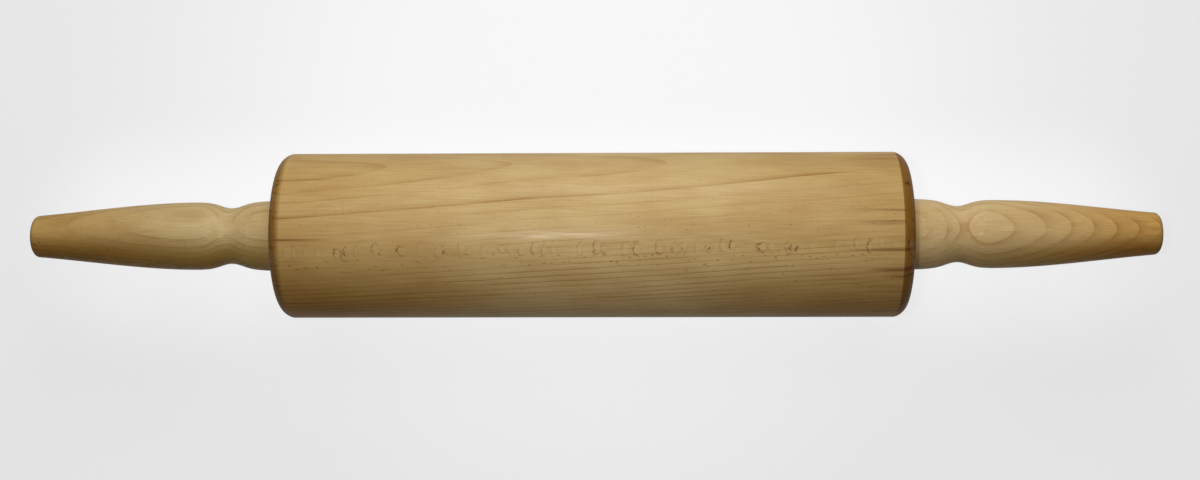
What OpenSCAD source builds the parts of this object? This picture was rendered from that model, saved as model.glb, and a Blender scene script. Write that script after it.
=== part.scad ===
// Rolling pin with a free-turning barrel. The beech barrel runs on a steel axle rod in two
// nylon bushes, and each end of the rod is pinned in a turned beech handle.
// Lengths are in millimetres. +X runs along the pin and +Z is up. The origin is on the table,
// under the middle of the barrel.

/* [Barrel] */
// Outside diameter of the barrel
barrel_d = 65; // [56:1:76]
// Length of the barrel between its end faces
barrel_len = 246; // [180:1:320]
// Radius of the hand-worked round-over at each end
edge_r = 6; // [3:0.5:8]
// Height of the round-over's crown over the wall, which leaves a faint line where they meet
edge_lift = 0.1; // [0.04:0.02:0.2]
// Diameter of the bore between the two bush seats
bore_d = 12; // [10:0.5:13]

/* [Handles] */
// Distance from the barrel's end face to the tip of the handle
handle_reach = 99.5; // [92:0.5:112]
// Diameter of the collar beside the barrel
collar_d = 27.8; // [26:0.1:30]
// Diameter at the bottom of the neck
neck_d = 22.1; // [20:0.1:24]
// Distance from the barrel's end face to the bottom of the neck
neck_at = 20.4; // [19:0.1:22]
// Diameter at the fullest part of the grip
grip_d = 26.8; // [25:0.1:30]
// Distance from the barrel's end face to the fullest part of the grip
grip_at = 34; // [32:0.5:38]
// Diameter of the grip where its end starts to round
tip_d = 16.6; // [14:0.1:20]
// Radius of the rounded edge at the tip
tip_edge_r = 2.2; // [1:0.1:3]
// Height of the slight dome on the end of the tip
tip_dome = 0.3; // [0.1:0.1:0.8]

/* [Axle and bearings] */
// Diameter of the steel axle rod
rod_d = 8; // [7:0.5:9]
// Length of rod held inside each handle
rod_grip = 60; // [40:1:70]
// Radial running clearance of the rod in each bush
run_gap = 0.05; // [0.02:0.01:0.1]
// Outside diameter of the sleeve of each bush
bush_d = 14; // [13.5:0.5:16]
// Length of each bush, flange included
bush_len = 20; // [12:1:30]
// Diameter of the bush's flange
flange_d = 22; // [18:1:26]
// Thickness of the bush's flange, which lies flush in the barrel's end
flange_t = 1.5; // [1:0.1:3]
// Diameter of the thrust washer between bush and handle
washer_d = 20; // [16:1:24]
// Thickness of the thrust washer
washer_t = 1; // [0.5:0.1:1.5]
// End play of the barrel between the washers, at each end
end_play = 0.5; // [0.3:0.1:1]

/* [Locking pins] */
// Diameter of the pin that locks each handle to the rod
pin_d = 3; // [2:0.5:4]
// Length of the pin
pin_len = 22; // [18:1:24]
// Distance from the barrel's end face to the pin
pin_at = 8; // [6:0.5:11]
// Depth of the pin's outer end below the wood
pin_sink = 0.6; // [0.3:0.1:2]

/* [Hidden] */
$fn = 120;

barrel_r = barrel_d / 2;
axis_z = barrel_r;
barrel_end = barrel_len / 2;
bush_bore_d = rod_d + 2 * run_gap;
face_at = end_play + washer_t;      // inner face of the handle, from the barrel's end face
face_edge = 0.6;                    // broken edge around that face
washer_bore_d = rod_d + 0.4;
rod_end = barrel_end + face_at + rod_grip;
rod_chamfer = 0.6;
lead_in = 0.8;                      // chamfer on the bush's inner end, which starts it in its seat
socket_spare = 1.5;                 // room past the rod's end, below the drill point
overcut = 1;                        // how far a cutter runs past the face that it cuts

// The neck is a cove: two flanks rise evenly on both sides of its bottom.
cove_half = 4.4;
cove_rise = 0.95;
flank_slope = 0.355;
// The bead shoulder and the grip shoulder lie where the flanks have turned into the bulges.
bead_at = 11;
bead_drop = 0.55;
bead_slope = 0.13;
shoulder_back = 3;
shoulder_drop = 0.1;
shoulder_slope = 0.04;

// The tip ends in an arc that runs on from the grip's taper into a slight dome.
tip_taper = 0.085;
tip_lean = atan(tip_taper);
dome_lean = 2 * atan(tip_dome / (tip_d / 2 - tip_edge_r));
tip_arc_at = handle_reach - tip_dome - tip_edge_r * cos(dome_lean);
tip_arc_r = tip_d / 2 - tip_edge_r * cos(tip_lean);

// Stations of the handle's outline: [distance from the barrel's end face, radius, slope]
stations = [
    [face_at + face_edge, collar_d / 2, 0],
    [bead_at, collar_d / 2 - bead_drop, -bead_slope],
    [neck_at - cove_half, neck_d / 2 + cove_rise, -flank_slope],
    [neck_at, neck_d / 2, 0],
    [neck_at + cove_half, neck_d / 2 + cove_rise, flank_slope],
    [grip_at - shoulder_back, grip_d / 2 - shoulder_drop, shoulder_slope],
    [grip_at, grip_d / 2, 0],
    [tip_arc_at + tip_edge_r * sin(tip_lean), tip_d / 2, -tip_taper]
];
station_steps = 9;
arc_steps = 8;
dome_steps = 4;

// Radius at share t of the way from station a to station b, on a cubic with both slopes
function radius_between(a, b, t) =
    let (h = b[0] - a[0])
    (2 * t ^ 3 - 3 * t ^ 2 + 1) * a[1] + (t ^ 3 - 2 * t ^ 2 + t) * h * a[2]
    + (3 * t ^ 2 - 2 * t ^ 3) * b[1] + (t ^ 3 - t ^ 2) * h * b[2];

// Points of the turned side, as [radius, distance]
side_points = [
    for (i = [0 : len(stations) - 2], k = [0 : station_steps - 1])
        let (a = stations[i], b = stations[i + 1], t = k / station_steps)
        [radius_between(a, b, t), a[0] + t * (b[0] - a[0])]
];

// Points of the rounded edge at the tip
edge_points = [
    for (k = [0 : arc_steps])
        let (a = tip_lean + (90 - dome_lean - tip_lean) * k / arc_steps)
        [tip_arc_r + tip_edge_r * cos(a), tip_arc_at + tip_edge_r * sin(a)]
];

// Points of the dome, from the rounded edge to the axis
dome_r = edge_points[arc_steps][0];
dome_points = [
    for (k = [1 : dome_steps])
        let (share = 1 - k / dome_steps)
        [dome_r * share, handle_reach - tip_dome * share ^ 2]
];

// Lays a solid that stands on +Z along +X, on the pin's axis
module on_axis() {
    translate([0, 0, axis_z]) rotate([0, 90, 0]) children();
}

// Places a right-hand part, drawn from the barrel's end face outwards
module right_end() {
    on_axis() translate([0, 0, barrel_end]) children();
}

// The same part at the left end
module left_end() {
    mirror([1, 0, 0]) right_end() children();
}

// Half outline of the barrel: a plain wall with a round-over at each end
module barrel_outline() {
    intersection() {
        union() {
            translate([0, -barrel_end]) square([barrel_r - edge_r, barrel_len]);
            translate([0, edge_r - barrel_end]) square([barrel_r, barrel_len - 2 * edge_r]);
            for (side = [-1, 1])
                translate([barrel_r - edge_r + edge_lift, side * (barrel_end - edge_r)])
                    circle(r = edge_r);
        }
        translate([0, -barrel_end]) square([barrel_r, barrel_len]);
    }
}

module barrel() {
    color("#b8925a")
    difference() {
        on_axis() rotate_extrude() barrel_outline();
        on_axis() cylinder(d = bore_d, h = barrel_len + 2 * overcut, center = true);
        right_end() bush_seat();
        left_end() bush_seat();
    }
}

// Cutter for the stepped seat that a flanged bush is pressed into
module bush_seat() {
    translate([0, 0, -bush_len]) cylinder(d = bush_d, h = bush_len + overcut);
    translate([0, 0, -flange_t]) cylinder(d = flange_d, h = flange_t + overcut);
}

// Flanged plain bearing. Its flange lies flush with the barrel's end face
module bush() {
    color("#e8e2d0")
    difference() {
        union() {
            translate([0, 0, -flange_t]) cylinder(d = flange_d, h = flange_t);
            translate([0, 0, lead_in - bush_len]) cylinder(d = bush_d, h = bush_len - lead_in);
            translate([0, 0, -bush_len]) cylinder(d1 = bush_d - 2 * lead_in, d2 = bush_d, h = lead_in);
        }
        translate([0, 0, -bush_len - overcut]) cylinder(d = bush_bore_d, h = bush_len + 2 * overcut);
    }
}

// One steel rod joins both handles and carries the barrel
module axle_rod() {
    color("#9a9c9e")
    difference() {
        on_axis() {
            cylinder(d = rod_d, h = 2 * (rod_end - rod_chamfer), center = true);
            for (side = [0, 1])
                mirror([0, 0, side]) translate([0, 0, rod_end - rod_chamfer])
                    cylinder(d1 = rod_d, d2 = rod_d - 2 * rod_chamfer, h = rod_chamfer);
        }
        right_end() pin_hole();
        left_end() pin_hole();
    }
}

// Thrust washer against the handle's inner face
module washer() {
    color("#c9cbcc")
    translate([0, 0, end_play]) difference() {
        cylinder(d = washer_d, h = washer_t);
        translate([0, 0, -overcut]) cylinder(d = washer_bore_d, h = washer_t + 2 * overcut);
    }
}

// Turned handle: collar, neck and a grip that tapers to its tip
module handle() {
    color("#c4a36b")
    difference() {
        rotate_extrude() polygon(concat(
            [[0, face_at], [collar_d / 2 - face_edge, face_at]],
            side_points, edge_points, dome_points
        ));
        rod_socket();
        pin_hole();
    }
}

// Cutter for the blind hole that grips the rod, with its drill point
module rod_socket() {
    depth = rod_grip + socket_spare;
    translate([0, 0, face_at - overcut]) cylinder(d = rod_d, h = depth + overcut);
    translate([0, 0, face_at + depth]) cylinder(d1 = rod_d, d2 = 0, h = rod_d / 3);
}

// The pin starts below the wood on the underside and passes through the rod
pin_start = collar_d / 2 - pin_sink;

// Cutter for the blind cross hole that the locking pin is driven into
module pin_hole() {
    translate([pin_start - pin_len, 0, pin_at]) rotate([0, 90, 0])
        cylinder(d = pin_d, h = pin_len + pin_sink + overcut);
}

module locking_pin() {
    color("#8d8f91")
    translate([pin_start - pin_len, 0, pin_at]) rotate([0, 90, 0])
        cylinder(d = pin_d, h = pin_len);
}

barrel();
left_end() bush();  // left_bush
right_end() bush();  // right_bush
axle_rod();
left_end() washer();  // left_washer
right_end() washer();  // right_washer
left_end() handle();  // left_handle
right_end() handle();  // right_handle
left_end() locking_pin();  // left_pin
right_end() locking_pin();  // right_pin
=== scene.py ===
# %% [markdown]
# # A beech rolling pin with a free-turning barrel
#
# The real pin is ten pieces on one axis. A steel rod joins two turned handles, and the barrel
# runs on that rod in two nylon bushes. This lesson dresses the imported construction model: it
# builds each piece again as a fine turned mesh, in the same place and at the same size, and gives
# each one a material that is worked out in three dimensions, as wood is.
#
# The construction model is the frame. Loading it first gives every size and place below.

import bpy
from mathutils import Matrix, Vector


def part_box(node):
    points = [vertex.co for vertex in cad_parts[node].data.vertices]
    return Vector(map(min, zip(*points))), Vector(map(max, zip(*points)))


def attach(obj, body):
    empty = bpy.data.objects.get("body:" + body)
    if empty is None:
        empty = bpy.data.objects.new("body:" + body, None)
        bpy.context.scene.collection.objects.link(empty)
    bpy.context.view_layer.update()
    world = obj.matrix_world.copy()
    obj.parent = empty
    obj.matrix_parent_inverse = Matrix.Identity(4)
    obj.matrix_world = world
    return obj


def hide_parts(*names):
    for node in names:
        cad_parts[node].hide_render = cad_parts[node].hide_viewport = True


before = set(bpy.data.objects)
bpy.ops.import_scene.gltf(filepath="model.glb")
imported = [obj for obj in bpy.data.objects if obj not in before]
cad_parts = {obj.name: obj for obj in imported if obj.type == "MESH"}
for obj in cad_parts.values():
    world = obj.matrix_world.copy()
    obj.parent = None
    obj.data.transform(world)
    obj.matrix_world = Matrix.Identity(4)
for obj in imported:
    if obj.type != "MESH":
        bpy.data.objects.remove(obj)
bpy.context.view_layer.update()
print("nodes:", ", ".join(sorted(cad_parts)))

# %% [markdown]
# Blender works in metres, and a maker thinks in millimetres, so one value turns one into the
# other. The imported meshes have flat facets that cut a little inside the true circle. Each measure
# is therefore rounded to a tenth of a millimetre, which gives the true size back.

# %% Measure the pieces
import math
import random

import bmesh
import bpy
import numpy as np
from mathutils import Matrix, Vector

mm = 0.001


def span(node):
    """Start and end along X, and half the height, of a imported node, in millimetres."""
    low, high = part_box(node)
    return round(low.x / mm, 1), round(high.x / mm, 1), round((high.z - low.z) / 2 / mm, 1)


_, barrel_end, barrel_r = span("barrel")
bush_start, _, flange_r = span("right_bush")
washer_start, washer_end, washer_r = span("right_washer")
face_at, tip_at, collar_r = span("right_handle")
_, rod_end, rod_r = span("axle_rod")
pin_start, pin_end, _ = span("right_pin")
axis_z = barrel_r
print(f"barrel {2 * barrel_end} x {2 * barrel_r} mm, overall {2 * tip_at} mm")

# %% [markdown]
# ## The camera
#
# The camera stands where the photograph was taken. A fit to the outline of the barrel gives its
# distance from the pin's axis, the point on the axis that it faces, and its focal length. The
# outline can't tell how high it stood, but the shadows do. The handles' soft shadows lie 57 mm
# below them in the picture, and the barrel's shading puts the lamp about 60 degrees towards the
# top of the picture. On a table both fit only if the camera looked almost straight down.
#
# The camera's three axes are built by hand, because the pin has to lie level in the picture,
# apart from a small roll, between the slopes of the barrel and of the handles.

# %% Place the camera
picture_w, picture_h = 1200, 480
view_height = math.radians(88)
camera_gap = 668.1
camera_foot = 18.7
aim_at = 2.9
aim_below = 1.94
roll = math.radians(0.15)
focal_px = 1689.0
sensor_w = 36.0


def placed(name, data):
    """A new object in the scene."""
    made = bpy.data.objects.new(name, data)
    bpy.context.scene.collection.objects.link(made)
    return made


towards_camera = Vector((0, -math.cos(view_height), math.sin(view_height)))
picture_up = Vector((0, math.sin(view_height), math.cos(view_height)))
axis_middle = Vector((0, 0, axis_z))

eye = axis_middle + Vector((camera_foot, 0, 0)) + camera_gap * towards_camera
aim = axis_middle + Vector((aim_at, 0, 0)) - aim_below * picture_up
back = (eye - aim).normalized()
right = (Vector((1, 0, 0)) - back.x * back).normalized()
turn = Matrix((right, back.cross(right), back)).transposed() @ Matrix.Rotation(-roll, 3, "Z")

lens = bpy.data.cameras.new("camera")
lens.sensor_width = sensor_w
lens.lens = focal_px / picture_w * sensor_w
lens.clip_start = 0.01
camera = placed("camera", lens)
camera.matrix_world = Matrix.Translation(eye * mm) @ turn.to_4x4()
bpy.context.scene.camera = camera
print(f"lens {lens.lens:.1f} mm, camera {camera_gap:.0f} mm from the axis")


# %% [markdown]
# A few corners of the pin show whether the camera is right: they have to land where the
# photograph shows them.

# %% Where the corners land in the picture
def in_picture(x, up, near):
    """Pixel of a point beside the pin's axis, given up the picture and near the camera."""
    point = axis_middle + Vector((x, 0, 0)) + up * picture_up + near * towards_camera
    seen = camera.matrix_world.inverted() @ (point * mm)
    return (
        round(picture_w / 2 - seen.x / seen.z * focal_px, 1),
        round(picture_h / 2 + seen.y / seen.z * focal_px, 1),
    )


for label, spot in {
    "left tip": (-tip_at, 0, 0),
    "right tip": (tip_at, 0, 0),
    "barrel, top left": (-118, barrel_r, 0),
    "barrel, bottom right": (118, -barrel_r, 0),
}.items():
    print(label, in_picture(*spot))


# %% [markdown]
# ## Colours and nodes
#
# Colours are written as the hex values that a painter would pick from the picture. Cycles works
# in linear light, so one function converts them. Every material below is a network of nodes, and
# one helper adds them all: it makes the node, applies its settings and fills or links its inputs.

# %% Colour and node helpers
def linear(hex_colour):
    """Linear red, green, blue and full alpha of an sRGB hex colour."""
    levels = [int(hex_colour[i : i + 2], 16) / 255 for i in (1, 3, 5)]
    return [c / 12.92 if c <= 0.04045 else ((c + 0.055) / 1.055) ** 2.4 for c in levels] + [1]


def add(tree, kind, inputs=None, **settings):
    """Adds a node. kind is its type and, for a sum or product, its operation: "Math ADD".

    inputs gives a value, or the node or socket that feeds it, by name or place.
    """
    kind, _, operation = kind.partition(" ")
    node = tree.nodes.new("ShaderNode" + kind)
    if operation:
        node.operation = operation
    for name, value in settings.items():
        setattr(node, name, value)
    for key, value in (inputs or {}).items():
        found = [s for s in node.inputs if s.enabled and s.name == key]
        socket = node.inputs[key] if isinstance(key, int) else found[0]
        if isinstance(value, bpy.types.Node):
            value = next(s for s in value.outputs if s.enabled)
        if isinstance(value, bpy.types.NodeSocket):
            tree.links.new(value, socket)
        else:
            socket.default_value = value
    return node


def new_material(name):
    """An empty material, and its node tree."""
    material = bpy.data.materials.new(name)
    material.use_nodes = True
    material.node_tree.nodes.clear()
    return material, material.node_tree


print("beech tan in linear light:", [round(c, 3) for c in linear("#BF9B65")])

# %% [markdown]
# ## Floor, world and lamps
#
# The photograph has a plain white ground and three lights. A wide soft one overhead gives half of
# the light. A smaller one beyond the top of the picture casts the shadows. A weak one beside the
# lens leaves a faint streak along the middle of the barrel. A little light from all round stands
# for the walls of the room. The power of each lamp follows from the share of full light that it
# gives, where a surface in full light shows its own colour.
#
# The ground is a plain pale sheet. It reflects little light upwards, because the underside of
# the pin is dark in the picture, and the camera sees an added plain white, so that it still looks
# white and keeps a soft shadow. Metal sees that white too. As in the picture, that white carries
# painted light: a broad painted pool of light behind the pin, which falls off a little towards
# the edges, and a soft painted paler border all round the pin, which lifts the shade there.

# %% Floor
floor_reach = 2500.0
floor_tint = linear("#FBFBFC")

floor_mesh = bpy.data.meshes.new("floor")
corners = [(-1, -1, 0), (1, -1, 0), (1, 1, 0), (-1, 1, 0)]
floor_mesh.from_pydata([Vector(c) * floor_reach * mm for c in corners], [], [(0, 1, 2, 3)])
floor = placed("floor", floor_mesh)
print("floor", 2 * floor_reach * mm, "m wide")

# %% Plain white of the ground, with painted light
floor_white = 0.780
painted_pool_stretch = 0.88
painted_pool_centre = (0, 48, 0)
painted_pool_reach = (57.0, 208.0)
painted_pool_drop = 0.12
painted_halo_half_length = 190.0
painted_halo_reach = (58.0, 10.0)
painted_halo_white = 0.09

paper, tree = new_material("pale paper sheet")
place = add(tree, "TexCoord")
spot = add(tree, "VectorMath SCALE", {0: place.outputs["Object"], "Scale": 1 / mm})
# The pool is painted light: the white falls off from behind the pin towards the edges, as a lamp's
# light would.
from_painted_pool = add(tree, "VectorMath SUBTRACT", {0: spot, 1: painted_pool_centre})
from_painted_pool = add(tree, "VectorMath MULTIPLY", {0: from_painted_pool, 1: (painted_pool_stretch, 1, 0)})
from_painted_pool = add(tree, "VectorMath LENGTH", {0: from_painted_pool})
painted_pool = {"Value": from_painted_pool, "From Min": painted_pool_reach[0], "From Max": painted_pool_reach[1]}
painted_pool = {**painted_pool, "To Min": floor_white, "To Max": floor_white * (1 - painted_pool_drop)}
painted_pool = add(tree, "MapRange", painted_pool, interpolation_type="SMOOTHSTEP")
# The border is painted light: a paler band all round the pin that lifts its shade.
parts = add(tree, "SeparateXYZ", {0: spot})
past = add(tree, "Math ABSOLUTE", {0: parts.outputs["X"]})
past = add(tree, "Math SUBTRACT", {0: past, 1: painted_halo_half_length})
past = add(tree, "Math MAXIMUM", {0: past, 1: 0.0})
from_pin = add(tree, "CombineXYZ", {0: past, 1: parts.outputs["Y"]})
from_pin = add(tree, "VectorMath LENGTH", {0: from_pin})
painted_halo = {"Value": from_pin, "From Min": painted_halo_reach[0], "From Max": painted_halo_reach[1]}
painted_halo = add(tree, "MapRange", {**painted_halo, "To Max": painted_halo_white}, interpolation_type="SMOOTHSTEP")
# Plain white, plus the painted pool of light and the painted pale border.
white_and_painted_light = add(tree, "Math ADD", {0: painted_pool, 1: painted_halo})
print("white pool:", painted_pool_reach, "mm; pale border:", painted_halo_reach, "mm")

# %% Paper
floor_low = 0.22
floor_shine = 0.21


def seen_plainly(tree):
    """1 for rays from the camera, from metal and through glass, and 0 for the light's own rays."""
    path = add(tree, "LightPath")
    seen = path.outputs["Is Camera Ray"]
    for kind in ("Is Glossy Ray", "Is Transmission Ray"):
        seen = add(tree, "Math MAXIMUM", {0: seen, 1: path.outputs[kind]})
    return seen


seen = seen_plainly(tree)
grey = add(tree, "MapRange", {"Value": seen, "To Min": floor_low, "To Max": floor_shine})
sheet = add(tree, "BsdfDiffuse", {"Color": grey})
plain = add(tree, "Math MULTIPLY", {0: seen, 1: white_and_painted_light})
white = add(tree, "Emission", {"Color": floor_tint, "Strength": plain})
both = add(tree, "AddShader", {0: sheet, 1: white})
add(tree, "OutputMaterial", {"Surface": both})
floor_mesh.materials.append(paper)
print("paper:", len(tree.nodes), "nodes")

# %% World and lamps
sky_fill = 0.085
sky_white = 0.70

world = bpy.data.worlds.new("studio")
bpy.context.scene.world = world
world.use_nodes = True
tree = world.node_tree
tree.nodes.clear()
strength = {"Value": seen_plainly(tree), "To Min": sky_fill, "To Max": sky_white}
strength = add(tree, "MapRange", strength)
sky = add(tree, "Background", {"Color": floor_tint, "Strength": strength})
add(tree, "OutputWorld", {"Surface": sky})


def disc_lamp(name, place, width, share, spread):
    """A round lamp that faces the pin and gives it a share of full light.

    spread is the full angle of its beam in degrees. A narrow beam is brighter in the middle, so
    the power is divided by that gain.
    """
    lamp = bpy.data.lights.new(name, "AREA")
    lamp.shape = "DISK"
    lamp.size = width * mm
    lamp.spread = math.radians(spread)
    half = math.radians(spread / 2)
    gain = math.tan(half) / (math.tan(half) - half)
    away = place - axis_middle
    reach = away.length_squared + (width / 2) ** 2
    lamp.energy = share * math.pi**2 * reach * mm**2 / gain
    lamp_object = placed(name, lamp)
    lamp_object.location = place * mm
    lamp_object.visible_camera = False
    lamp_object.rotation_euler = away.to_track_quat("Z", "Y").to_euler()
    print(f"{name}: {lamp.energy:.2f} W at {[round(v) for v in place]} mm")


def lamp_place(x, turn, reach):
    """A place that far from the pin, turned from the camera towards the top of the picture."""
    turn = math.radians(turn)
    side = math.cos(turn) * towards_camera + math.sin(turn) * picture_up
    return axis_middle + Vector((x, 0, 0)) + reach * side


overhead = lamp_place(x=10, turn=27, reach=700)
far_side = lamp_place(x=20, turn=64, reach=750)
beside_lens = eye + Vector((-62, 0, 0))
disc_lamp("ceiling lamp", overhead, width=900, share=0.56, spread=100)
disc_lamp("window lamp", far_side, width=340, share=0.37, spread=180)
disc_lamp("lamp beside the lens", beside_lens, width=34, share=0.24, spread=80)
bpy.context.scene.view_settings.view_transform = "Standard"


# %% [markdown]
# ## Turning
#
# Every piece of the pin comes off a lathe or is a plain round bar, so one function makes them
# all: it turns an outline round the pin's axis. An outline is a list of points, each a distance
# along the axis and a radius. It either starts and ends on the axis, as a solid bar's does, or
# goes round a bore and closes on itself.
#
# Two helpers finish an outline. One breaks its corners, because no real edge is sharp, and a
# small curve there catches the light. The other adds rings along the long straight stretches,
# so that the surface can be dented later.

# %% Outline helpers
def broken(points, cuts):
    """Rounds the corners whose index is in cuts, with a curve that starts that far from them."""
    made = []
    steps = 5
    for i, corner in enumerate(points):
        if i not in cuts:
            made.append(corner)
            continue
        here = Vector(corner)
        before = Vector(points[i - 1])
        after = Vector(points[(i + 1) % len(points)])
        start = here + (before - here).normalized() * cuts[i]
        end = here + (after - here).normalized() * cuts[i]
        for k in range(steps + 1):
            t = k / steps
            made.append(tuple((1 - t) ** 2 * start + 2 * t * (1 - t) * here + t**2 * end))
    return made


def spaced(points, step):
    """Adds points between those that lie further apart than step."""
    made = []
    for a, b in zip(points, points[1:]):
        count = max(1, math.ceil(math.dist(a, b) / step))
        made += [tuple(Vector(a).lerp(Vector(b), k / count)) for k in range(count)]
    return made + [points[-1]]


def mirrored(points):
    """The same outline for the left end, in the order that keeps it running the same way."""
    return [(-x, r) for x, r in reversed(points)]


sample = broken([(0, 0), (0, 5), (5, 5)], {1: 1})
print("a broken corner:", [tuple(round(v, 2) for v in point) for point in sample])


# %% Turn an outline
def turned(name, outline, segments):
    """A mesh object: the outline, in millimetres, turned round the pin's axis."""
    pole = 1e-6
    form = bmesh.new()
    rings = []
    for x, r in outline:
        count = 1 if r < pole else segments
        angles = [2 * math.pi * i / segments for i in range(count)]
        spots = [Vector((x, r * math.sin(a), axis_z + r * math.cos(a))) * mm for a in angles]
        rings.append([form.verts.new(spot) for spot in spots])
    if len(rings[0]) > 1:
        rings.append(rings[0])
    for near, far in zip(rings, rings[1:]):
        for i in range(segments):
            j = i + 1
            inner = [near[i % len(near)], near[j % len(near)]]
            outer = [far[j % len(far)], far[i % len(far)]]
            form.faces.new(dict.fromkeys(inner + outer))
    bmesh.ops.recalc_face_normals(form, faces=form.faces)
    mesh = bpy.data.meshes.new(name)
    form.to_mesh(mesh)
    form.free()
    return placed(name, mesh)


def smoothed(piece, crease=30):
    """Shades a piece smoothly, and keeps the edges sharp that turn by more than crease degrees."""
    form = bmesh.new()
    form.from_mesh(piece.data)
    for face in form.faces:
        face.smooth = True
    for edge in form.edges:
        paired = len(edge.link_faces) == 2
        edge.smooth = paired and edge.calc_face_angle() < math.radians(crease)
    form.to_mesh(piece.data)
    form.free()
    return piece


# %% [markdown]
# Wood that has been used has small soft dents. A dent is a smooth dimple: it pushes the surface
# towards the axis, most at its middle, and fades out at its rim. The places are drawn from a
# seeded generator, so they are the same on every run.

# %% Dents
def dented(piece, dents):
    """Presses dents in a piece: (distance along X, degrees, half length, half width, depth)."""
    mesh = piece.data
    spots = np.zeros(len(mesh.vertices) * 3)
    mesh.vertices.foreach_get("co", spots)
    spots = spots.reshape(-1, 3) / mm
    across = spots[:, 1:] - (0, axis_z)
    radius = np.maximum(np.hypot(across[:, 0], across[:, 1]), 1e-6)
    angle = np.degrees(np.arctan2(-across[:, 0], across[:, 1]))
    press = np.zeros(len(spots))
    for x, degrees, half_length, half_width, depth in dents:
        gap = np.radians((angle - degrees + 180) % 360 - 180) * radius
        far = ((spots[:, 0] - x) / half_length) ** 2 + (gap / half_width) ** 2
        press += depth * np.clip(1 - far, 0, None) ** 2
    spots[:, 1:] -= across / radius[:, None] * press[:, None]
    mesh.vertices.foreach_set("co", (spots * mm).ravel())
    mesh.update()


def scattered(seed, count, start, end):
    """Dents at seeded places between two distances along X."""
    draw = random.Random(seed)
    return [
        (
            draw.uniform(start, end),
            draw.uniform(0, 360),
            draw.uniform(1.0, 3.2),
            draw.uniform(0.8, 2.0),
            draw.uniform(0.03, 0.12),
        )
        for _ in range(count)
    ]


# %% [markdown]
# ## The barrel
#
# The barrel is one beech blank, turned and bored through, with a stepped seat at each end for a
# bush. Its ends are rounded by hand to a radius of 6 mm. The round-over's crown stands a hair
# over the wall, so it meets the wall at a faint line, which the picture shows as a crisp start
# of the darker end.

# %% Barrel outline
edge_r = 6.0
edge_lift = 0.1
bore_r = 6.0
sleeve_r = 7.0
flange_t = 1.5
edge_steps = 14

arc_x = barrel_end - edge_r
arc_r = barrel_r - edge_r + edge_lift
first = math.asin((barrel_r - arc_r) / edge_r)
edge = [
    (arc_x + edge_r * math.cos(a), arc_r + edge_r * math.sin(a))
    for a in [first * k / edge_steps for k in range(edge_steps + 1)]
]
bore = [(bush_start, bore_r), (bush_start, sleeve_r), (barrel_end - flange_t, sleeve_r)]
mouth = [(barrel_end - flange_t, flange_r), (barrel_end, flange_r)]
right_half = bore + broken(mouth + edge[:1], {1: 0.3})[:-1] + edge
wall = spaced([edge[-1], (-edge[-1][0], edge[-1][1])], step=1.5)
barrel_outline = right_half[:-1] + wall[:-1] + mirrored(right_half)
print(len(barrel_outline), "points,", f"wall from {wall[0][0]:.2f} to {wall[-1][0]:.2f} mm")

# %% Barrel
barrel = turned("barrel_wood", barrel_outline, segments=240)
dented(barrel, scattered(seed=11, count=46, start=-112, end=112))
smoothed(barrel, crease=8)
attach(barrel, "barrel")
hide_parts("barrel")
print(len(barrel.data.polygons), "faces")

# %% [markdown]
# ## The handles
#
# A handle is turned from its own smaller blank: a collar beside the barrel, a neck for the
# first finger, and a grip that swells and tapers to a rounded tip. Its outline is a chain of
# smooth curves between a few stations. At each station the radius and the slope are known, and
# a cubic runs from one to the next, as a turner's eye would carry the curve.
#
# The tip ends in a small arc that carries on into a slight dome. Inside is the blind socket
# that grips the rod.

# %% Handle outline
handle_start = face_at - barrel_end
handle_reach = tip_at - barrel_end
face_edge = 0.6
neck_r = 11.05
grip_r = 13.4
tip_r = 8.3
tip_taper = 0.085
tip_edge_r = 2.2
tip_dome = 0.3
tip_lean = math.atan(tip_taper)
dome_lean = 2 * math.atan(tip_dome / (tip_r - tip_edge_r))
tip_arc_x = handle_reach - tip_dome - tip_edge_r * math.cos(dome_lean)
tip_arc_r = tip_r - tip_edge_r * math.cos(tip_lean)
socket_end = rod_end - barrel_end + 1.5

stations = [
    (handle_start + face_edge, collar_r, 0),
    (11, collar_r - 0.55, -0.13),
    (16, neck_r + 0.95, -0.355),
    (20.4, neck_r, 0),
    (24.8, neck_r + 0.95, 0.355),
    (31, grip_r - 0.1, 0.04),
    (34, grip_r, 0),
    (tip_arc_x + tip_edge_r * math.sin(tip_lean), tip_r, -tip_taper),
]


def carried(a, b, t):
    """The point at share t of the way between two stations, on a cubic with both slopes."""
    gap = b[0] - a[0]
    radius = (2 * t**3 - 3 * t**2 + 1) * a[1] + (t**3 - 2 * t**2 + t) * gap * a[2]
    radius += (3 * t**2 - 2 * t**3) * b[1] + (t**3 - t**2) * gap * b[2]
    return a[0] + t * gap, radius


side = [
    carried(a, b, k / steps)
    for a, b in zip(stations, stations[1:])
    for steps in [max(4, round((b[0] - a[0]) / 0.8))]
    for k in range(steps)
]
arc_steps = 10
tip_arc = [
    (tip_arc_x + tip_edge_r * math.sin(a), tip_arc_r + tip_edge_r * math.cos(a))
    for k in range(arc_steps + 1)
    for a in [tip_lean + (math.pi / 2 - dome_lean - tip_lean) * k / arc_steps]
]
dome_r = tip_arc[-1][1]
dome = [(handle_reach - tip_dome * s**2, dome_r * s) for s in (0.8, 0.6, 0.4, 0.2, 0)]
socket = [(socket_end + rod_r * 2 / 3, 0), (socket_end, rod_r), (handle_start, rod_r)]
face = broken(
    [socket[-1], (handle_start, collar_r), stations[0][:2]], {0: 0.25, 1: face_edge}
)
half_outline = socket[:2] + face[:-2] + side + tip_arc + dome
half_outline = [(x + barrel_end, r) for x, r in half_outline]
print(len(half_outline), "points, grip", 2 * grip_r, "mm across")

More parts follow.
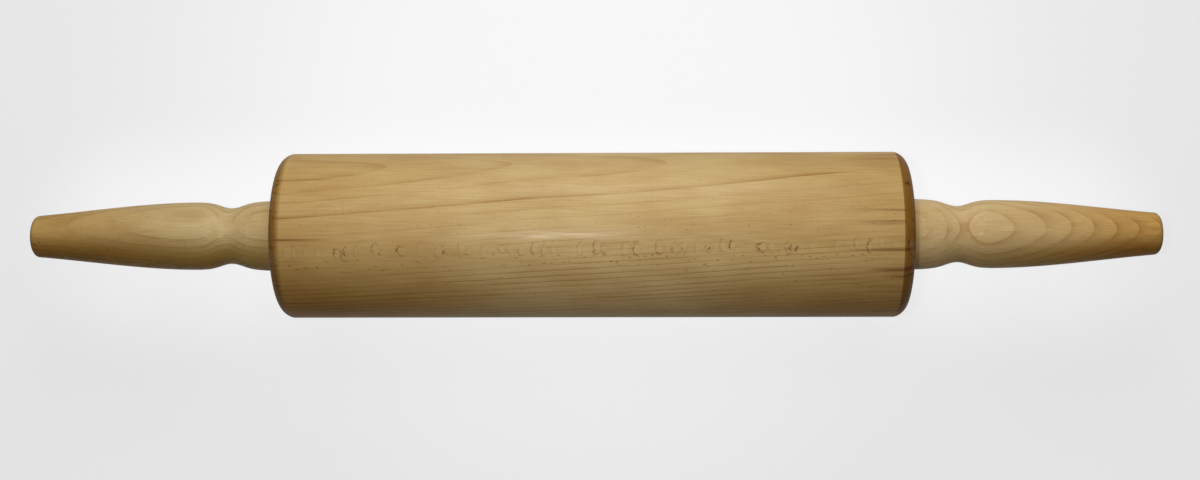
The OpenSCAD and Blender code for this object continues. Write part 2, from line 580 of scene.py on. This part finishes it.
# %% [markdown]
# Each handle is locked to the rod by a steel cross pin, driven in from the underside of the
# collar through a 3 mm hole. A cutter takes that hole out of the fine mesh.

# %% Handles
pin_r = (pin_end - pin_start) / 2
pin_x = (pin_start + pin_end) / 2
pin_low, pin_high = (c.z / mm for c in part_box("right_pin"))


def drilled(piece, x):
    """Cuts the cross hole for a locking pin, from below the collar up to the pin's inner end."""
    form = bmesh.new()
    bmesh.ops.create_cone(
        form,
        cap_ends=True,
        segments=48,
        radius1=pin_r * mm,
        radius2=pin_r * mm,
        depth=(pin_high + collar_r) * mm,
        matrix=Matrix.Translation(Vector((x, 0, (pin_high - collar_r) / 2)) * mm),
    )
    mesh = bpy.data.meshes.new("drill")
    form.to_mesh(mesh)
    form.free()
    drill = placed("drill", mesh)
    cut = piece.modifiers.new("hole", "BOOLEAN")
    cut.object = drill
    cut.solver = "EXACT"
    shapes = bpy.context.evaluated_depsgraph_get()
    finished = bpy.data.meshes.new_from_object(piece.evaluated_get(shapes))
    piece.modifiers.clear()
    piece.data = finished
    bpy.data.objects.remove(drill)


handles = {}
for side_name, sign, seed in (("left", -1, 21), ("right", 1, 22)):
    outline = half_outline if sign > 0 else mirrored(half_outline)
    handle = turned(side_name + "_handle_wood", outline, segments=144)
    low, high = sorted((sign * (face_at + 4), sign * (tip_at - 4)))
    dented(handle, scattered(seed, count=14, start=low, end=high))
    drilled(handle, sign * pin_x)
    smoothed(handle)
    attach(handle, "spindle")
    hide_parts(side_name + "_handle")
    handles[side_name] = handle
    print(handle.name, len(handle.data.polygons), "faces")

# %% [markdown]
# ## The axle and its bearings
#
# The working pieces hide inside, and their edges show in the narrow gap beside the barrel. The
# rod is a bright steel bar with chamfered ends and two cross holes. Each bush is a machined
# nylon sleeve with a flange, and each washer is stamped, which rolls its edges on one side.

# %% Rod
chamfer = 0.6
rod_half = spaced([(0, rod_r), (rod_end - chamfer, rod_r)], step=12)
rod_half += [(rod_end, rod_r - chamfer), (rod_end, 0)]
rod = turned("rod_steel_bar", mirrored(rod_half)[:-1] + rod_half, segments=96)
for sign in (-1, 1):
    drilled(rod, sign * pin_x)
smoothed(rod)
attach(rod, "spindle")
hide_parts("axle_rod")
print(rod.name, len(rod.data.polygons), "faces")

# %% Bushes, washers and pins
run_gap = 0.05
lead_in = 0.8
washer_gap = 0.2

bush_outline = broken(
    [
        (bush_start, rod_r + run_gap),
        (bush_start, sleeve_r - lead_in),
        (bush_start + lead_in, sleeve_r),
        (barrel_end - flange_t, sleeve_r),
        (barrel_end - flange_t, flange_r),
        (barrel_end, flange_r),
        (barrel_end, rod_r + run_gap),
    ],
    {5: 0.25, 6: 0.25},
)
washer_outline = broken(
    [
        (washer_start, rod_r + washer_gap),
        (washer_start, washer_r),
        (washer_end, washer_r),
        (washer_end, rod_r + washer_gap),
    ],
    {0: 0.12, 1: 0.3, 2: 0.1, 3: 0.12},
)
rings = {"bush": ("barrel", bush_outline), "washer": ("spindle", washer_outline)}
pieces = {}
for side_name in ("left", "right"):
    for kind, (body, outline) in rings.items():
        outline = outline if side_name == "right" else mirrored(outline)
        piece = smoothed(turned(f"{side_name}_{kind}_ring", outline, segments=120))
        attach(piece, body)
        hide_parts(f"{side_name}_{kind}")
        pieces[side_name, kind] = piece

for side_name, sign in (("left", -1), ("right", 1)):
    length = pin_high - pin_low
    bar = [(0, 0), (0, pin_r), (length, pin_r), (length, 0)]
    bar = broken(bar, {1: 0.3, 2: 0.3})
    pin = smoothed(turned(side_name + "_pin_bar", bar, segments=48))
    upright = Matrix.Rotation(-math.pi / 2, 4, "Y") @ Matrix.Translation((0, 0, -axis_z * mm))
    place = Matrix.Translation(Vector((sign * pin_x, 0, pin_low)) * mm)
    pin.data.transform(place @ upright)
    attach(pin, "spindle")
    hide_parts(side_name + "_pin")
    pieces[side_name, "pin"] = pin
for piece in pieces.values():
    print(piece.name, len(piece.data.polygons), "faces")

# %% [markdown]
# ## Beech
#
# Beech is worked out as the tree grew it, in three dimensions. Year rings are cylinders round
# the pith, the tree's middle line, and the pith lies outside each piece, a little out of line
# with it. Where the surface cuts the rings flat, they open into arches, and round a swelling
# they close into ovals. Where it cuts them on edge, they run as straight fine lines.
#
# The first step measures where a point lies: along the pin, round its axis and from the pith.
# The rings wander by about a millimetre over a hand's width, as a trunk is never quite round.
# Five soft noises vary what comes later. Each has its own size in millimetres along x, y and z.
# Real fibres are finer than the picture shows, so theirs are drawn at half a millimetre.

# %% Places in the wood
wander = Vector((0, 1.1, 1.1))
wander_size = (80, 26, 26)
wood_noises = (
    ("unevenness", "warped", (45, 7, 7), 2.0, 0.5),
    ("raggedness", "spot", (20 / 9, 20 / 9, 20 / 9), 2.0, 0.5),
    ("fibre", "warped", (14, 0.5, 0.5), 3.0, 0.6),
    ("mottle", "spot", (34, 13, 13), 2.0, 0.5),
    ("pore", "spot", (60, 2.4, 2.4), 1.0, 0.5),
)


def grown(tree, pith, lean):
    """Sockets that say where a point lies in the tree, in millimetres, and the noises, by name.

    pith: place of the tree's middle line beside the pin's axis at x = 0, as (y, z)
    lean: how far that line moves, in y and z, for each millimetre of x
    """
    place = add(tree, "TexCoord")
    spot = add(tree, "VectorMath SUBTRACT", {0: place.outputs["Object"], 1: (0, 0, axis_z * mm)})
    spot = add(tree, "VectorMath SCALE", {0: spot, "Scale": 1 / mm})
    along = add(tree, "SeparateXYZ", {0: spot}).outputs["X"]
    slow = add(tree, "VectorMath MULTIPLY", {0: spot, 1: [1 / s for s in wander_size]})
    drift = add(tree, "TexNoise", {"Vector": slow, "Scale": 1.0, "Detail": 1.0})
    drift = {0: drift.outputs["Color"], 1: 2 * wander, 2: -wander}
    drift = add(tree, "VectorMath MULTIPLY_ADD", drift)
    warped = add(tree, "VectorMath ADD", {0: spot, 1: drift})
    middle = add(tree, "CombineXYZ", {0: along, 1: along, 2: along})
    line = {0: middle, 1: (1, *lean), 2: (0, *pith)}
    middle = add(tree, "VectorMath MULTIPLY_ADD", line)
    arm = add(tree, "VectorMath SUBTRACT", {0: warped, 1: middle})
    radius = add(tree, "VectorMath LENGTH", {0: arm})
    around = add(tree, "VectorMath MULTIPLY", {0: spot, 1: (0, 1, 1)})
    girth = add(tree, "VectorMath LENGTH", {0: around})
    wood = {"spot": spot, "warped": warped, "along": along, "arm": arm, "radius": radius}
    wood.update(around=around, girth=girth, normal=place.outputs["Normal"])
    for name, source, size, detail, roughness in wood_noises:
        shrink = {0: wood[source], 1: [1 / s for s in size]}
        noise = {"Vector": add(tree, "VectorMath MULTIPLY", shrink)}
        noise.update({"Scale": 1.0, "Detail": detail, "Roughness": roughness})
        wood[name] = add(tree, "TexNoise", noise)
    return wood


print("noises in the wood:", ", ".join(name for name, *_ in wood_noises))

# %% [markdown]
# Within a ring the wood darkens slowly towards the bark and then starts pale again at a crisp
# line. One curve turns the distance from the pith into a count of years, and another says how
# boldly each year ends. Some years still end in a strong line and others in a faint one.


# %% Year rings
def ring_lines(tree, wood, years, bold, crispness):
    """Mask of the dark ends of the rings.

    years: pairs of distance from the pith and number of the ring that ends there
    bold: pairs of distance from the pith and how boldly the rings show there, from 0 to 1
    crispness: how sharply a ring's dark edge ends
    """
    start, end = years[0][0], years[-1][0]
    count = years[-1][1]
    share = add(tree, "MapRange", {"Value": wood["radius"], "From Min": start, "From Max": end})
    graphs = []
    for points, top in ((years, count), (bold, 1)):
        graph = add(tree, "FloatCurve", {"Value": share})
        curve = graph.mapping.curves[0]
        for point, (_, value) in zip(curve.points, (points[0], points[-1])):
            point.location.y = value / top
        for distance, value in points[1:-1]:
            curve.points.new((distance - start) / (end - start), value / top)
        for point in curve.points:
            point.handle_type = "VECTOR"
        graph.mapping.update()
        graphs.append(graph)
    year = add(tree, "Math MULTIPLY", {0: graphs[0], 1: count})
    season = add(tree, "Math FRACT", {0: year})
    line = add(tree, "Math POWER", {0: season, 1: crispness})
    uneven = wood["unevenness"].outputs["Fac"]
    firmness = {"Value": uneven, "From Min": 0.38, "From Max": 0.62, "To Min": 0.12}
    for strength in (add(tree, "MapRange", firmness), graphs[1]):
        line = add(tree, "Math MULTIPLY", {0: line, 1: strength})
    return line


# %% [markdown]
# Rays are thin plates that run from the pith outwards and stand on edge. Each fills one cell of
# a space whose axes run along the grain, round the pith and outwards. Most of the surface cuts
# them across, and they show as thin dark dashes along the grain. Half of the cells stay empty.

# %% Rays
ray_cell = (2.6, 0.9, 18)
ray_half = (0.6, 0.09, 8)


def ray_dashes(tree, wood, usual_radius):
    """Mask of the rays that the surface cuts across. It is true at the usual radius."""
    parts = add(tree, "SeparateXYZ", {0: wood["arm"]})
    turn = add(tree, "Math ARCTAN2", {0: parts.outputs["Z"], 1: parts.outputs["Y"]})
    sideways = add(tree, "Math MULTIPLY", {0: turn, 1: usual_radius})
    cells = add(tree, "CombineXYZ", {0: wood["along"], 1: sideways, 2: wood["radius"]})
    cells = add(tree, "VectorMath MULTIPLY", {0: cells, 1: [1 / c for c in ray_cell]})
    chosen = add(tree, "TexVoronoi", {"Vector": cells, "Scale": 1.0})
    gap = add(tree, "VectorMath SUBTRACT", {0: cells, 1: chosen.outputs["Position"]})
    shape = {0: gap, 1: [c / h for c, h in zip(ray_cell, ray_half)]}
    shape = add(tree, "VectorMath MULTIPLY", shape)
    far = add(tree, "VectorMath LENGTH", {0: shape})
    inside = add(tree, "MapRange", {"Value": far, "From Min": 1.0, "From Max": 0.5})
    luck = add(tree, "SeparateXYZ", {0: chosen.outputs["Color"]}).outputs["X"]
    kept = add(tree, "MapRange", {"Value": luck, "From Min": 0.5, "From Max": 0.9})
    return add(tree, "Math MULTIPLY", {0: inside, 1: kept})


print("rays:", [2 * h for h in ray_half], "mm")

# %% [markdown]
# In the one band where the surface runs along the rays they show as tall oval flecks, which is
# the row of flecks in the picture. The distance from that line follows from the angle between
# the surface and the ray.
#
# A fleck is an uneven oval with a pale middle, which is painted sheen of the ray. Its dark rim is
# broken, and strongest at its left end. Now and then one has a dark heart. Small dark specks lie
# below the row.

# %% Flecks
fleck_wobble = 1.6
rim_at = 0.85
rim_half = 0.28


def off_ray_line(tree, wood):
    """Distance from the line where the surface runs along the rays, with its sign."""
    facing = {0: wood["normal"], 1: wood["arm"]}
    facing = add(tree, "VectorMath DOT_PRODUCT", facing)
    outwards = add(tree, "Math DIVIDE", {0: facing, 1: wood["radius"]})
    return add(tree, "Math MULTIPLY", {0: outwards, 1: wood["girth"]})


def flecks(tree, wood, off_line, pitch, lengths, heights, low, high):
    """A row of oval flecks: masks of their rims, their middles and their hearts.

    pitch: the usual distance between them
    lengths, heights: half the smallest and the largest one's size
    low, high: how far from the line they may lie
    """
    ragged = add(tree, "SeparateXYZ", {0: wood["raggedness"].outputs["Color"]})
    step = add(tree, "Math MULTIPLY", {0: wood["along"], 1: 1 / pitch})
    nearest = add(tree, "TexVoronoi", {"W": step, "Scale": 1.0}, voronoi_dimensions="1D")
    chance = add(tree, "SeparateXYZ", {0: nearest.outputs["Color"]})
    drawn = []
    for axis, least, most in (("X", *lengths), ("Y", low, high), ("Z", *heights)):
        lot = {"Value": chance.outputs[axis], "To Min": least, "To Max": most}
        drawn.append(add(tree, "MapRange", lot))
    length, offset, height = drawn
    gap = add(tree, "Math SUBTRACT", {0: step, 1: nearest.outputs["W"]})
    gap = add(tree, "Math MULTIPLY", {0: gap, 1: pitch})
    aside = add(tree, "Math SUBTRACT", {0: off_line, 1: offset})
    sides = []
    for distance, half, axis in ((gap, length, "X"), (aside, height, "Y")):
        share = add(tree, "Math DIVIDE", {0: distance, 1: half})
        bend = add(tree, "Math SUBTRACT", {0: ragged.outputs[axis], 1: 0.5})
        bend = {0: bend, 1: fleck_wobble, 2: share}
        sides.append(add(tree, "Math MULTIPLY_ADD", bend))
    far = add(tree, "CombineXYZ", {0: sides[0], 1: sides[1]})
    far = add(tree, "VectorMath LENGTH", {0: far})
    off_rim = add(tree, "Math SUBTRACT", {0: far, 1: rim_at})
    off_rim = add(tree, "Math ABSOLUTE", {0: off_rim})
    masks = []
    for value, none, full in ((off_rim, rim_half, 0.0), (far, 0.95, 0.45), (far, 0.5, 0.2)):
        mask = {"Value": value, "From Min": none, "From Max": full}
        masks.append(add(tree, "MapRange", mask, interpolation_type="SMOOTHSTEP"))
    rim, middle, heart = masks
    mood = add(tree, "Math MULTIPLY", {0: chance.outputs["X"], 1: 5.0})
    mood = add(tree, "Math FRACT", {0: mood})
    for value, least, most, dimmest in (
        (sides[0], 0.5, -0.7, 0.3),
        (ragged.outputs["Z"], 0.35, 0.6, 0.1),
        (mood, 0.1, 0.9, 0.15),
    ):
        dim = {"Value": value, "From Min": least, "From Max": most, "To Min": dimmest}
        dim = add(tree, "MapRange", dim)
        rim = add(tree, "Math MULTIPLY", {0: rim, 1: dim})
    rare = add(tree, "MapRange", {"Value": chance.outputs["Y"], "From Min": 0.76, "From Max": 0.8})
    return rim, middle, add(tree, "Math MULTIPLY", {0: heart, 1: rare})


# %% [markdown]
# Hands and dough darken the wood away from the middle. Painted shade darkens its lower side, away
# from the lamps, more towards the ends. End grain soaks up more than the rest, and a few open pores
# carry that stain some way in along the grain. The picture shows a few at the right end, and they
# are drawn one by one. The two ends of the barrel differ in use and in painted shade, so some
# values come in pairs.


# %% Wear and painted shade
def at_each_end(tree, measure, ends):
    """Sockets with the left end's values where measure is negative, and else the right end's."""
    made = []
    for at_left, at_right in zip(*ends):
        inputs = {"Value": measure, "From Min": -0.02, "From Max": 0.02}
        made.append(add(tree, "MapRange", {**inputs, "To Min": at_left, "To Max": at_right}))
    return made


def use_marks_and_shade(tree, wood, handled_from, low_shade_from, low_shade_side):
    """Masks of the wood that hands have darkened, and of painted shade on its lower side.

    handled_from: distances from the pin's middle between which hands darken the wood
    low_shade_from: distances between which the painted shade on the lower side grows
    low_shade_side: how far round, from 0 on top to -1 in front, that shade starts and is full, at
    each end
    """
    distance = add(tree, "Math ABSOLUTE", {0: wood["along"]})
    forward = add(tree, "SeparateXYZ", {0: wood["around"]}).outputs["Y"]
    forward = add(tree, "Math DIVIDE", {0: forward, 1: wood["girth"]})
    masks = []
    for value, none, full in (
        (distance, *handled_from),
        (distance, *low_shade_from),
        (forward, *at_each_end(tree, wood["along"], low_shade_side)),
    ):
        mask = {"Value": value, "From Min": none, "From Max": full}
        masks.append(add(tree, "MapRange", mask, interpolation_type="SMOOTHSTEP"))
    handled, outer, low_side = masks
    # The second mask is painted shade on the lower side, away from the lamps, more towards the
    # ends.
    return handled, add(tree, "Math MULTIPLY", {0: outer, 1: low_side})


def soaked_ends(tree, wood, soak):
    """Mask of the stained end grain.

    soak: how far the surface faces the end, from 0 to 1, where the stain starts and where it is
    full, and how much of it there is, at each end
    """
    facing = add(tree, "SeparateXYZ", {0: wood["normal"]}).outputs["X"]
    end_on = add(tree, "Math ABSOLUTE", {0: facing})
    start, full, amount = at_each_end(tree, facing, soak)
    mask = {"Value": end_on, "From Min": start, "From Max": full}
    mask = add(tree, "MapRange", mask, interpolation_type="SMOOTHSTEP")
    return add(tree, "Math MULTIPLY", {0: mask, 1: amount})


# %% Stained pores
pore_reach = 30


def stained_pores(tree, wood, end_at, streaks):
    """Mask of the open pores near the ends.

    end_at: distance of the end grain from the pin's middle
    streaks: pores at the right end, each as degrees below the top, half width and length
    """
    distance = add(tree, "Math ABSOLUTE", {0: wood["along"]})
    inwards = {"Value": distance, "From Min": end_at - pore_reach, "From Max": end_at - 3}
    inwards = add(tree, "MapRange", inwards, interpolation_type="SMOOTHSTEP")
    pores = {"Value": wood["pore"].outputs["Fac"], "From Min": 0.6, "From Max": 0.72}
    pores = add(tree, "MapRange", pores)
    pores = add(tree, "Math MULTIPLY", {0: pores, 1: inwards})
    for turn, half_width, length in streaks:
        there = {"Vector": wood["warped"], "Angle": math.radians(-turn)}
        there = add(tree, "VectorRotate", there, rotation_type="X_AXIS")
        there = add(tree, "SeparateXYZ", {0: there})
        aside = add(tree, "Math ABSOLUTE", {0: there.outputs["Y"]})
        thin = {"Value": aside, "From Min": half_width, "From Max": 0.2 * half_width}
        streak = add(tree, "MapRange", thin)
        start, full = end_at - length, end_at - 0.3 * length
        deep = {"Value": wood["along"], "From Min": start, "From Max": full}
        deep = add(tree, "MapRange", deep, interpolation_type="SMOOTHSTEP")
        upper = add(tree, "Math GREATER_THAN", {0: there.outputs["Z"], 1: 0.0})
        for mask in (deep, upper):
            streak = add(tree, "Math MULTIPLY", {0: streak, 1: mask})
        pores = add(tree, "Math MAXIMUM", {0: pores, 1: streak})
    return pores


# %% [markdown]
# The finish is turned, sanded and oiled beech, satin rather than glossy. Each mask lays a thin
# brown over the clean wood by multiplying, as stain does, but on the lower side that brown is
# painted shade. The flecks' middles are the one paler thing, a painted sheen of the rays. Sanded
# fibres stand a few hundredths of a millimetre proud, and rays lie a little deeper. The oil has
# filled the wood unevenly, so its roughness follows the fibres.


# %% Beech material
def beech(
    name, pith, lean, years, bold, crispness, fresh, handled, handled_from, low_shade_from, low_shade_side,
    end_at, end_stain, soak, wicking, streaks=(),
):
    """Turned, sanded and oiled beech.

    fresh, handled, end_stain: colours of clean and of handled wood, and the end grain's stain
    wicking: how strongly pores draw that stain in
    The other values go to the steps above, which explain them.
    """
    material, tree = new_material(name)
    wood = grown(tree, pith, lean)
    lines = ring_lines(tree, wood, years, bold, crispness)
    off_line = off_ray_line(tree, wood)
    row = {"pitch": 4.7, "lengths": (1.0, 2.3), "heights": (1.9, 3.2), "low": -0.9, "high": 0.9}
    dots = {"pitch": 2.7, "lengths": (0.3, 1.1), "heights": (0.15, 0.45), "low": 1.4, "high": 7.5}
    rim, middle, heart = flecks(tree, wood, off_line, **row)
    _, speck, _ = flecks(tree, wood, off_line, **dots)
    beyond = add(tree, "Math ABSOLUTE", {0: off_line})
    beyond = add(tree, "MapRange", {"Value": beyond, "From Min": 3.5, "From Max": 8.0})
    dash = ray_dashes(tree, wood, (years[0][0] + years[-1][0]) / 2)
    dash = add(tree, "Math MULTIPLY", {0: dash, 1: beyond})
    grime, painted_low_shade = use_marks_and_shade(tree, wood, handled_from, low_shade_from, low_shade_side)
    soaked = soaked_ends(tree, wood, soak)
    pores = stained_pores(tree, wood, end_at, streaks)
    fibre = wood["fibre"].outputs["Fac"]

    layers = [
        (lines, 0.9, "#C6A474"),
        (rim, 0.8, "#9C7440"),
        (heart, 0.75, "#A06A34"),
        (speck, 0.5, "#9C7440"),
        (dash, 0.6, "#A88A58"),
        (pores, wicking, "#9A7038"),
        # painted shade on the lower side, away from the lamps
        (painted_low_shade, 0.9, "#CAB474"),
        (soaked, 1.0, end_stain),
    ]
    for noise, tint, amount in (("fibre", "#C8B188", 0.3), ("mottle", "#D6B98C", 0.4)):
        patches = {"Value": wood[noise].outputs["Fac"], "From Min": 0.35, "From Max": 0.7}
        layers.append((add(tree, "MapRange", patches), amount, tint))
    tone = {"Factor": grime, "A": linear(fresh), "B": linear(handled)}
    tone = add(tree, "Mix", tone, data_type="RGBA")
    for mask, amount, tint in layers:
        weight = add(tree, "Math MULTIPLY", {0: mask, 1: amount})
        tone = {"Factor": weight, "A": tone, "B": linear(tint)}
        tone = add(tree, "Mix", tone, data_type="RGBA", blend_type="MULTIPLY")
    # The paler middles of the flecks are painted sheen, the light that the rays reflect.
    weight = add(tree, "Math MULTIPLY", {0: middle, 1: 0.07})
    tone = {"Factor": weight, "A": tone, "B": linear("#D8C49A")}
    tone = add(tree, "Mix", tone, data_type="RGBA")

    grooves = add(tree, "Math MULTIPLY_ADD", {0: dash, 1: -0.6, 2: fibre})
    bump = add(tree, "Bump", {"Height": grooves, "Distance": 0.03 * mm, "Strength": 0.8})
    satin = {"Value": fibre, "From Min": 0.3, "From Max": 0.7, "To Min": 0.55, "To Max": 0.66}
    satin = add(tree, "MapRange", satin)
    film = {"Value": fibre, "From Min": 0.4, "From Max": 0.65, "To Min": 0.15, "To Max": 0.05}
    film = add(tree, "MapRange", film)
    surface = {"Base Color": tone, "Roughness": satin, "Normal": bump, "IOR": 1.5}
    surface.update({"Specular IOR Level": 0.05, "Coat Weight": film, "Coat Roughness": 0.2})
    surface.update({"Coat IOR": 1.5, "Coat Normal": bump})
    surface = add(tree, "BsdfPrincipled", surface)
    add(tree, "OutputMaterial", {"Surface": surface})
    print(name + ":", len(tree.nodes), "nodes")
    return material


# %% [markdown]
# The place of the pith was worked out from the arches in the picture. On the barrel it lies
# towards the camera and up the picture, 81 mm from the axis, and leans by 4 degrees. That puts
# the arches near the top of the picture and the band of flecks just below the middle.
#
# A direction round the axis is easiest to give as the picture shows it, so a small function
# turns a place beside the axis, near the camera and up the picture, into y and z.

# %% Wood of the barrel
def beside(near, up):
    """y and z of a place beside the axis, given towards the camera and up the picture."""
    place = near * towards_camera + up * picture_up
    return place.y, place.z


barrel_pith = beside(near=44.0, up=68.5)
barrel_years = [(36, 0), (45, 2), (47.6, 3), (50.3, 4), (55.5, 5), (66, 8), (78, 13)]
barrel_years += [(88.8, 18), (91.2, 19), (93.1, 20), (126, 37)]
barrel_bold = [(36, 0.5), (50.5, 0.5), (52, 1.0), (55.6, 1.0), (57, 0.35), (72, 0.4), (80, 1.0)]
barrel_bold += [(97, 1.0), (126, 0.5)]
barrel_wood = beech(
    "oiled beech, turned, barrel",
    pith=barrel_pith,
    lean=beside(near=-0.0177, up=0.0707),
    years=barrel_years,
    bold=barrel_bold,
    crispness=7.0,
    fresh="#CFB47E",
    handled="#C6A66B",
    handled_from=(10, 122),
    # painted shade on the lower side, growing from the middle to the ends
    low_shade_from=(0, 112),
    low_shade_side=((-0.05, -0.9), (-0.35, -1.0)),
    end_at=barrel_end,
    end_stain="#B2985F",
    soak=((0.08, 0.58, 0.88), (0.06, 0.32, 1.0)),
    wicking=0.7,
    streaks=((26, 1.4, 24), (12, 1.0, 30), (31, 0.7, 15)),
)
barrel.data.materials.append(barrel_wood)
print("pith of the barrel's blank:", [round(v, 1) for v in barrel_pith])

# %% [markdown]
# Each handle comes from a blank whose pith lies behind it, seen from the camera. The ovals open
# on the side that faces away from the pith, 13 degrees up the picture on the right handle and 27
# degrees on the left one. Hands have darkened both handles towards their tips.

# %% Wood of the handles
right_crest, left_crest = math.radians(13), math.radians(27)
to_right_crest = Vector(beside(math.cos(right_crest), math.sin(right_crest)))
to_left_crest = Vector(beside(math.cos(left_crest), math.sin(left_crest)))
for_handles = {
    "crispness": 3.5,
    "end_at": tip_at,
    "end_stain": "#C2A878",
    "soak": ((0.5, 0.9, 1.0), (0.5, 0.9, 1.0)),
    "wicking": 0.2,
}
right_wood = beech(
    "polished beech, turned, right handle",
    pith=-42.4 * to_right_crest,
    lean=0.12 * to_right_crest,
    years=[(3.3, 0), (65.3, 30)],
    bold=[(3.3, 0.7), (65.3, 0.7)],
    fresh="#DABF8B",
    handled="#CDA158",
    handled_from=(150, 224),
    # painted shade on the lower side, towards the tip
    low_shade_from=(100, 200),
    low_shade_side=((0, -0.75), (0, -0.75)),
    **for_handles,
)
left_wood = beech(
    "polished beech, turned, left handle",
    pith=-80 * to_left_crest,
    lean=0.01 * to_left_crest,
    years=[(60, 0), (102, 24)],
    bold=[(60, 0.6), (102, 0.6)],
    fresh="#D4BE8B",
    handled="#C09C5C",
    handled_from=(140, 224),
    # painted shade on the lower side, towards the tip
    low_shade_from=(60, 150),
    low_shade_side=((0.3, -0.75), (0.3, -0.75)),
    **for_handles,
)
handles["right"].data.materials.append(right_wood)
handles["left"].data.materials.append(left_wood)

# %% [markdown]
# ## Nylon and steel
#
# The bushes are natural nylon, an ivory plastic that lets a little light in and is cut on a
# lathe, so its faces carry fine rings. The rod is drawn through a die, which leaves long faint
# lines. The washers are stamped and zinc plated: bright, slightly blue, with a soft mottle. The
# cross pins are plain steel with sawn ends.


# %% Nylon
cut_pitch = 0.35

nylon, tree = new_material("natural nylon, machined")
place = add(tree, "TexCoord")
spot = add(tree, "VectorMath SUBTRACT", {0: place.outputs["Object"], 1: (0, 0, axis_z * mm)})
across = add(tree, "VectorMath MULTIPLY", {0: spot, 1: (0, 1, 1)})
radius = add(tree, "VectorMath LENGTH", {0: across})
turns = add(tree, "Math MULTIPLY", {0: radius, 1: 2 * math.pi / (cut_pitch * mm)})
cut_marks = add(tree, "Math SINE", {0: turns})
bump = add(tree, "Bump", {"Height": cut_marks, "Distance": 0.008 * mm, "Strength": 0.6})
cloudy = add(tree, "TexNoise", {"Scale": 180.0, "Detail": 2.0})
ivory = {"Factor": cloudy.outputs["Fac"], "A": linear("#EDE7D6"), "B": linear("#E2D9C3")}
ivory = add(tree, "Mix", ivory, data_type="RGBA")
sheen = add(tree, "MapRange", {"Value": cloudy.outputs["Fac"], "To Min": 0.38, "To Max": 0.5})
surface = {"Base Color": ivory, "Roughness": sheen, "Normal": bump, "IOR": 1.53}
surface.update({"Subsurface Weight": 0.15, "Subsurface Scale": 1.0 * mm})
surface["Subsurface Radius"] = (0.8, 0.7, 0.5)
surface = add(tree, "BsdfPrincipled", surface)
add(tree, "OutputMaterial", {"Surface": surface})
for side_name in ("left", "right"):
    bush = pieces[side_name, "bush"]
    bush.data.materials.append(nylon)
print("bushes dressed")


# %% Steel
def steel(name, light, dark, stretch, grain, rough):
    """Bare or plated steel.

    light, dark: its two shades
    stretch: how long its marks are in x, y and z, in millimetres
    grain: how high they stand
    rough: roughness of the light and of the dark shade
    """
    material, tree = new_material(name)
    place = add(tree, "TexCoord")
    scaled = {0: place.outputs["Object"], 1: [1 / (s * mm) for s in stretch]}
    scaled = add(tree, "VectorMath MULTIPLY", scaled)
    marks = {"Vector": scaled, "Scale": 1.0, "Detail": 4.0, "Roughness": 0.65}
    marks = add(tree, "TexNoise", marks).outputs["Fac"]
    tone = {"Factor": marks, "A": linear(light), "B": linear(dark)}
    tone = add(tree, "Mix", tone, data_type="RGBA")
    gloss = add(tree, "MapRange", {"Value": marks, "To Min": rough[0], "To Max": rough[1]})
    bump = add(tree, "Bump", {"Height": marks, "Distance": grain * mm, "Strength": 0.5})
    surface = {"Base Color": tone, "Metallic": 1.0, "Roughness": gloss, "Normal": bump}
    surface = add(tree, "BsdfPrincipled", surface)
    add(tree, "OutputMaterial", {"Surface": surface})
    return material


finishes = (
    ("bright steel, drawn", "#A9ABAD", "#8E9092", (60, 0.15, 0.15), 0.006, (0.22, 0.38)),
    ("zinc plate on stamped steel", "#C9CDD1", "#B3B8BC", (0.9, 0.9, 0.9), 0.004, (0.26, 0.42)),
    ("plain steel, sawn ends", "#9B9D9F", "#7D7F80", (0.9, 0.08, 0.5), 0.02, (0.34, 0.52)),
)
drawn, plated, sawn = [steel(*finish) for finish in finishes]
rod.data.materials.append(drawn)
for side_name in ("left", "right"):
    washer = pieces[side_name, "washer"]
    washer.data.materials.append(plated)
    pieces[side_name, "pin"].data.materials.append(sawn)
print("steel dressed")
